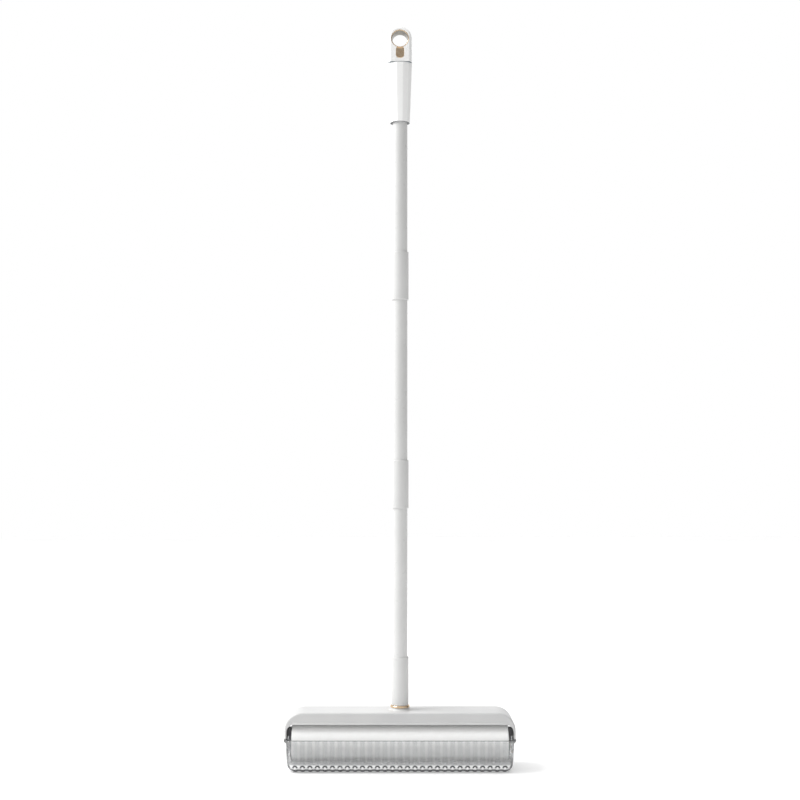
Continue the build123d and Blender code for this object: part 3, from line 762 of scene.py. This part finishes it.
class ROLLER_OT_neck(bpy.types.Operator):
    """Flared collar and metal ring where the pole meets the hood"""
    bl_idname = "roller.neck"
    bl_label = "Neck"

    def execute(self, context):
        spigot = high("lower_tube")[0] - 1.5 * MM
        lo, hi = low("neck_ring"), high("neck_ring")
        r, h = hi[0], hi[2] - lo[2]
        # a domed band: a half ellipse over its height, with a flat top that runs in to the sleeve
        angle = np.linspace(-math.pi / 2, math.pi / 2, 13)
        band = np.stack([r - 1.3 * MM + 1.3 * MM * np.cos(angle),
                         lo[2] + h / 2 + h / 2 * np.sin(angle)], axis=1)
        inside = [(spigot, hi[2]), (spigot, lo[2])]
        ring = lathe("neck_ring_turned", np.concatenate([band, inside]), around=128)
        place_piece(ring, "head", "rose_metal", "neck_ring")

        lo, hi = low("neck_collar"), high("neck_collar")
        base, top = hi[0], 14.0 * MM
        # a concave flare: a quarter ellipse from the foot's edge up to the ring
        angle = np.linspace(0, math.pi / 2, 11)
        flare = np.stack([base - (base - top) * np.sin(angle),
                          hi[2] - (hi[2] - lo[2]) * np.cos(angle)], axis=1)
        inside = [(spigot, hi[2]), (spigot, lo[2])]
        collar = lathe("neck_collar_moulded", np.concatenate([flare, inside]), around=128)
        place_piece(collar, "head", "white_shell", "neck_collar")
        return {"FINISHED"}


class ROLLER_OT_grip(bpy.types.Operator):
    """Twelve-sided grip with softened edges and a recess round the tube"""
    bl_idname = "roller.grip"
    bl_label = "Grip"

    def execute(self, context):
        s = context.scene.roller_grip
        lo, hi = low("grip"), high("grip")
        top_x, top_y = hi[0], s.top_depth / 2
        foot_x, foot_y = s.foot_width / 2, hi[1]
        angles = (np.arange(s.sides) + 0.5) * 2 * np.pi / s.sides
        facet = math.cos(math.pi / s.sides)

        def outline(share, inset):
            """Rounded twelve-sided outline at a share of the height, moved in by inset."""
            half_x = foot_x + (top_x - foot_x) * share - inset
            half_y = foot_y + (top_y - foot_y) * share - inset
            corners = np.stack([half_x / facet * np.cos(angles), half_y / facet * np.sin(angles)], axis=1)
            return rounded([tuple(c) for c in corners], s.edge_radius, 4)

        height = hi[2] - lo[2]
        bevel = s.end_bevel
        turn = np.linspace(0, math.pi / 2, 5)
        ends = bevel * (1 - np.cos(turn)) / height
        rows = [(e, bevel * (1 - math.sin(t))) for e, t in zip(ends, turn)]
        rows += [(share, 0.0) for share in np.linspace(0.05, 0.95, 10)]
        rows += [(1 - e, inset) for e, inset in reversed(rows[:5])]
        body = [np.column_stack([outline(share, inset), np.full(len(outline(0, 0)), lo[2] + share * height)])
                for share, inset in rows]
        around = np.arctan2(body[0][:, 1], body[0][:, 0])
        tube = high("lower_tube")[0] + 0.05 * MM

        def circle(radius, z):
            level = np.full(len(around), z)
            return np.stack([radius * np.cos(around), radius * np.sin(around), level], axis=1)

        deep = lo[2] + s.recess_depth
        rings = [circle(0, deep + 1 * MM), circle(tube, deep + 1 * MM), circle(tube, deep),
                 circle(s.recess_radius, deep), circle(s.recess_radius, lo[2] + 0.3 * MM),
                 circle(s.recess_radius + 0.2 * MM, lo[2]), *body, circle(0, hi[2])]
        grid = np.array(rings)
        faces = grid_faces(len(grid), grid.shape[1], wrap_columns=True)
        grip = clean(new_object("grip_moulded", grid.reshape(-1, 3), [faces]))
        place_piece(grip, "upper_pole", "grip_plastic", "grip")
        return {"FINISHED"}


class ROLLER_OT_eye(bpy.types.Operator):
    """Metal eyelet of the hanging hole, and the metal tongue under it"""
    bl_idname = "roller.eye"
    bl_label = "Hanging eye"

    def execute(self, context):
        lo, hi, centre = low("cap_liner"), high("cap_liner"), middle("cap_liner")
        flange, front, back = (hi[2] - lo[2]) / 2, lo[1], hi[1]
        bore = frame_bore
        # an eyelet rolled over at both ends: a rounded lip runs from the flange into the bore
        tube, under_flange = bore + 0.8 * MM, back - 0.7 * MM
        half = [(tube, 0, 0), (tube, under_flange, 0), (flange, under_flange, 0.1 * MM),
                (flange, back, 0.3 * MM), (bore, back, 1.0 * MM)]
        mirrored = [(a, -b, r) for a, b, r in reversed(half[1:])]
        profile = rounded(half + mirrored, 0, 5)
        eyelet = lathe("cap_eyelet", profile, axis="Y", centre=(0, 0, centre[2]), around=128)
        place_piece(eyelet, "upper_pole", "rose_metal", "cap_liner")

        lo, hi = low("cap_tongue"), high("cap_tongue")
        width, length = hi[0] - lo[0], hi[2] - lo[2]
        # a shallow pillow: the front stands out by one minus the sixth power of the distance from the middle,
        # in an outline that is straight above and round below, under the eyelet's rim
        u = np.linspace(-1, 1, 33)
        v = np.linspace(0, 1, 33)
        uu, vv = np.meshgrid(u, v, indexing="ij")
        round_r = width / 2 * 0.85
        bottom = lo[2] + round_r - np.sqrt(np.maximum(round_r ** 2 - (uu * width / 2 * 0.85) ** 2, 0))
        top = centre[2] - np.sqrt(np.maximum(flange ** 2 - (uu * width / 2) ** 2, 0))
        x = uu * width / 2
        z = bottom + (top - bottom) * vv
        rise = (1 - np.abs(uu) ** 6) * (1 - np.abs(2 * vv - 1) ** 6) * 0.45 * MM
        face = np.stack([x, front + 0.45 * MM - rise, z], axis=-1)
        rear = np.stack([x, np.full_like(x, hi[1]), z], axis=-1)
        count = len(u) * len(v)
        verts = np.concatenate([face.reshape(-1, 3), rear.reshape(-1, 3)])
        front_faces = grid_faces(len(u), len(v))
        loop = np.concatenate([np.arange(32), 32 + 33 * np.arange(32), count - 1 - np.arange(32),
                               count - 33 - 33 * np.arange(32)])
        next_loop = np.roll(loop, -1)
        walls = np.stack([loop, next_loop, next_loop + count, loop + count], axis=1)
        tongue = clean(new_object("cap_tongue_plate", verts, [front_faces, front_faces + count, walls]), 1e-7)
        place_piece(tongue, "upper_pole", "rose_metal", "cap_tongue")
        return {"FINISHED"}


class ROLLER_OT_pin_spring(bpy.types.Operator):
    """Coil spring behind the sprung pin"""
    bl_idname = "roller.pin_spring"
    bl_label = "Pin spring"

    def execute(self, context):
        s = context.scene.roller_refill
        lo, hi, centre = low("pin_spring"), high("pin_spring"), middle("pin_spring")
        wire = 0.5 * MM
        coil = (hi[2] - lo[2]) / 2 - wire
        # a helix of round wire: the wire's circle is carried round the X axis while it moves along, and the
        # end turns lie closed
        t = np.linspace(0, 1, s.spring_turns * 36)
        pitch = np.interp(t, [0, 0.09, 0.91, 1], [0, 0.05, 0.95, 1])
        turn = 2 * np.pi * s.spring_turns * t
        along = lo[0] + wire + (hi[0] - lo[0] - 2 * wire) * pitch
        w = np.linspace(0, 2 * np.pi, 10, endpoint=False)
        radius = coil + wire * np.cos(w)[None, :]
        verts = np.stack([along[:, None] + wire * np.sin(w)[None, :], radius * np.cos(turn)[:, None],
                          radius * np.sin(turn)[:, None]], axis=-1)
        ends = verts[[0, -1]].mean(axis=1)
        verts = np.concatenate([verts.reshape(-1, 3), ends]) + (0, centre[1], centre[2])
        body = grid_faces(len(t), len(w), wrap_columns=True)
        first = np.arange(len(w))
        last = first + (len(t) - 1) * len(w)
        count = len(t) * len(w)
        caps = np.concatenate([np.stack([np.roll(first, -1), first, np.full(len(w), count)], axis=1),
                               np.stack([last, np.roll(last, -1), np.full(len(w), count + 1)], axis=1)])
        spring = clean(new_object("pin_spring_coil", verts, [body, caps]))
        place_piece(spring, "roller", "steel", "pin_spring")
        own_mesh(spring)
        return {"FINISHED"}


class ROLLER_OT_frame_finishes(bpy.types.Operator):
    """Finishes of the CAD pieces that stay as they are"""
    bl_idname = "roller.frame_finishes"
    bl_label = "Finishes"

    def execute(self, context):
        slots = {p["node"]: p["material_slot"] for p in frame["record"]["subparts"]}
        for name, obj in frame["nodes"].items():
            dress(obj, name if name in FINISHES else slots[name])
        return {"FINISHED"}


class ROLLER_OT_studio(bpy.types.Operator):
    """Floor, light and camera"""
    bl_idname = "roller.studio"
    bl_label = "Studio"

    def execute(self, context):
        s = context.scene.roller_studio
        half = s.table_half
        corners = np.array([(-half, -half, 0), (half, -half, 0), (half, half, 0), (-half, half, 0)])
        floor = new_object("floor", corners, [np.array([[0, 1, 2, 3]])])
        # a pale table lit from underneath, so that it stays white and takes hardly any shadow
        n = Nodes("Opal_acrylic_table_cast", IOR=1.49)
        n.paint(noise(n, n.place(), 0.4), "#DADADA", "#DEDEDE")
        n.shader.inputs["Roughness"].default_value = 0.9
        n.shader.inputs["Specular IOR Level"].default_value = 0.1
        n.shader.inputs["Emission Color"].default_value = linear("#FFFFFF")
        n.shader.inputs["Emission Strength"].default_value = s.table_glow
        floor.data.materials.append(n.material)

        # a white room, bright behind, above and to the left, and darker in front and to the right
        world = bpy.data.worlds.new("studio")
        context.scene.world = world
        world.use_nodes = True
        world.node_tree.nodes.clear()
        room = Nodes.of(world.node_tree)
        coordinates = room.add("ShaderNodeTexCoord")
        direction = room.add("ShaderNodeSeparateXYZ", {"Vector": coordinates.outputs["Generated"]})
        side = room.span(direction.outputs["X"], -0.35, 0.30, s.left_level, s.right_level)
        above = room.span(direction.outputs["Z"], 0.45, 0.95, 0.0, 1.0)
        back = room.span(direction.outputs["Y"], 0.40, 0.80, 0.0, 1.0)
        front = room.span(direction.outputs["Y"], -0.9, -0.4, 1.0, 0.0)
        level = room.add("ShaderNodeMix", {"Factor": front, "A": side, "B": s.front_level}).outputs[0]
        level = room.add("ShaderNodeMix", {"Factor": above, "A": level, "B": s.above_level}).outputs[0]
        level = room.add("ShaderNodeMix", {"Factor": back, "A": level, "B": 1.0}).outputs[0]
        glow = room.add("ShaderNodeBackground", {"Color": (1, 1, 1, 1), "Strength": level})
        room.add("ShaderNodeOutputWorld", {"Surface": glow.outputs[0]})

        def light(name, place, aim, size, power):
            """A square soft light that faces a point."""
            lamp = bpy.data.lights.new(name, "AREA")
            lamp.size = size
            lamp.energy = power
            obj = bpy.data.objects.new(name, lamp)
            context.scene.collection.objects.link(obj)
            direction = np.array(aim, dtype=float) - np.array(place)
            obj.rotation_euler = Vector(direction).to_track_quat("-Z", "Y").to_euler()
            obj.location = place

        light("key", (-2.4, -0.15, 3.0), (0, 0, 0.4), 1.8, s.key_power)

        lens = bpy.data.cameras.new("camera")
        lens.lens = s.lens
        lens.sensor_width = 36
        lens.shift_y = s.shift
        camera = bpy.data.objects.new("camera", lens)
        camera.location = (0, -s.distance, s.height)
        camera.rotation_euler = (math.pi / 2, 0, 0)
        context.scene.collection.objects.link(camera)
        context.scene.camera = camera
        context.scene.view_settings.view_transform = "Standard"
        return {"FINISHED"}


class ROLLER_PT_panel(bpy.types.Panel):
    """Lists the roller's operators"""
    bl_idname = "ROLLER_PT_panel"
    bl_label = "Roller"
    bl_space_type = "VIEW_3D"
    bl_region_type = "UI"
    bl_category = "Roller"

    def draw(self, context):
        for operator in OPERATORS:
            self.layout.operator(operator.bl_idname)
        for group_name, group in SETTINGS.items():
            for name in group.__annotations__:
                self.layout.prop(getattr(context.scene, group_name), name)


SETTINGS = {
    "roller_cover": CoverSettings, "roller_refill": RefillSettings, "roller_pole": PoleSettings,
    "roller_grip": GripSettings, "roller_studio": StudioSettings,
}
OPERATORS = (
    ROLLER_OT_studio, ROLLER_OT_frame_finishes, ROLLER_OT_dust_cover, ROLLER_OT_refill, ROLLER_OT_sleeves,
    ROLLER_OT_neck, ROLLER_OT_grip, ROLLER_OT_eye, ROLLER_OT_pin_spring,
)


def register():
    for item in (*SETTINGS.values(), *OPERATORS, ROLLER_PT_panel):
        bpy.utils.register_class(item)
    for name, group in SETTINGS.items():
        setattr(bpy.types.Scene, name, bpy.props.PointerProperty(type=group))


def unregister():
    for name in SETTINGS:
        delattr(bpy.types.Scene, name)
    for item in reversed((*SETTINGS.values(), *OPERATORS, ROLLER_PT_panel)):
        bpy.utils.unregister_class(item)


def main():
    register()
    for operator in OPERATORS:
        group, name = operator.bl_idname.split(".")
        getattr(getattr(bpy.ops, group), name)()


if __name__ == "__main__":
    main()
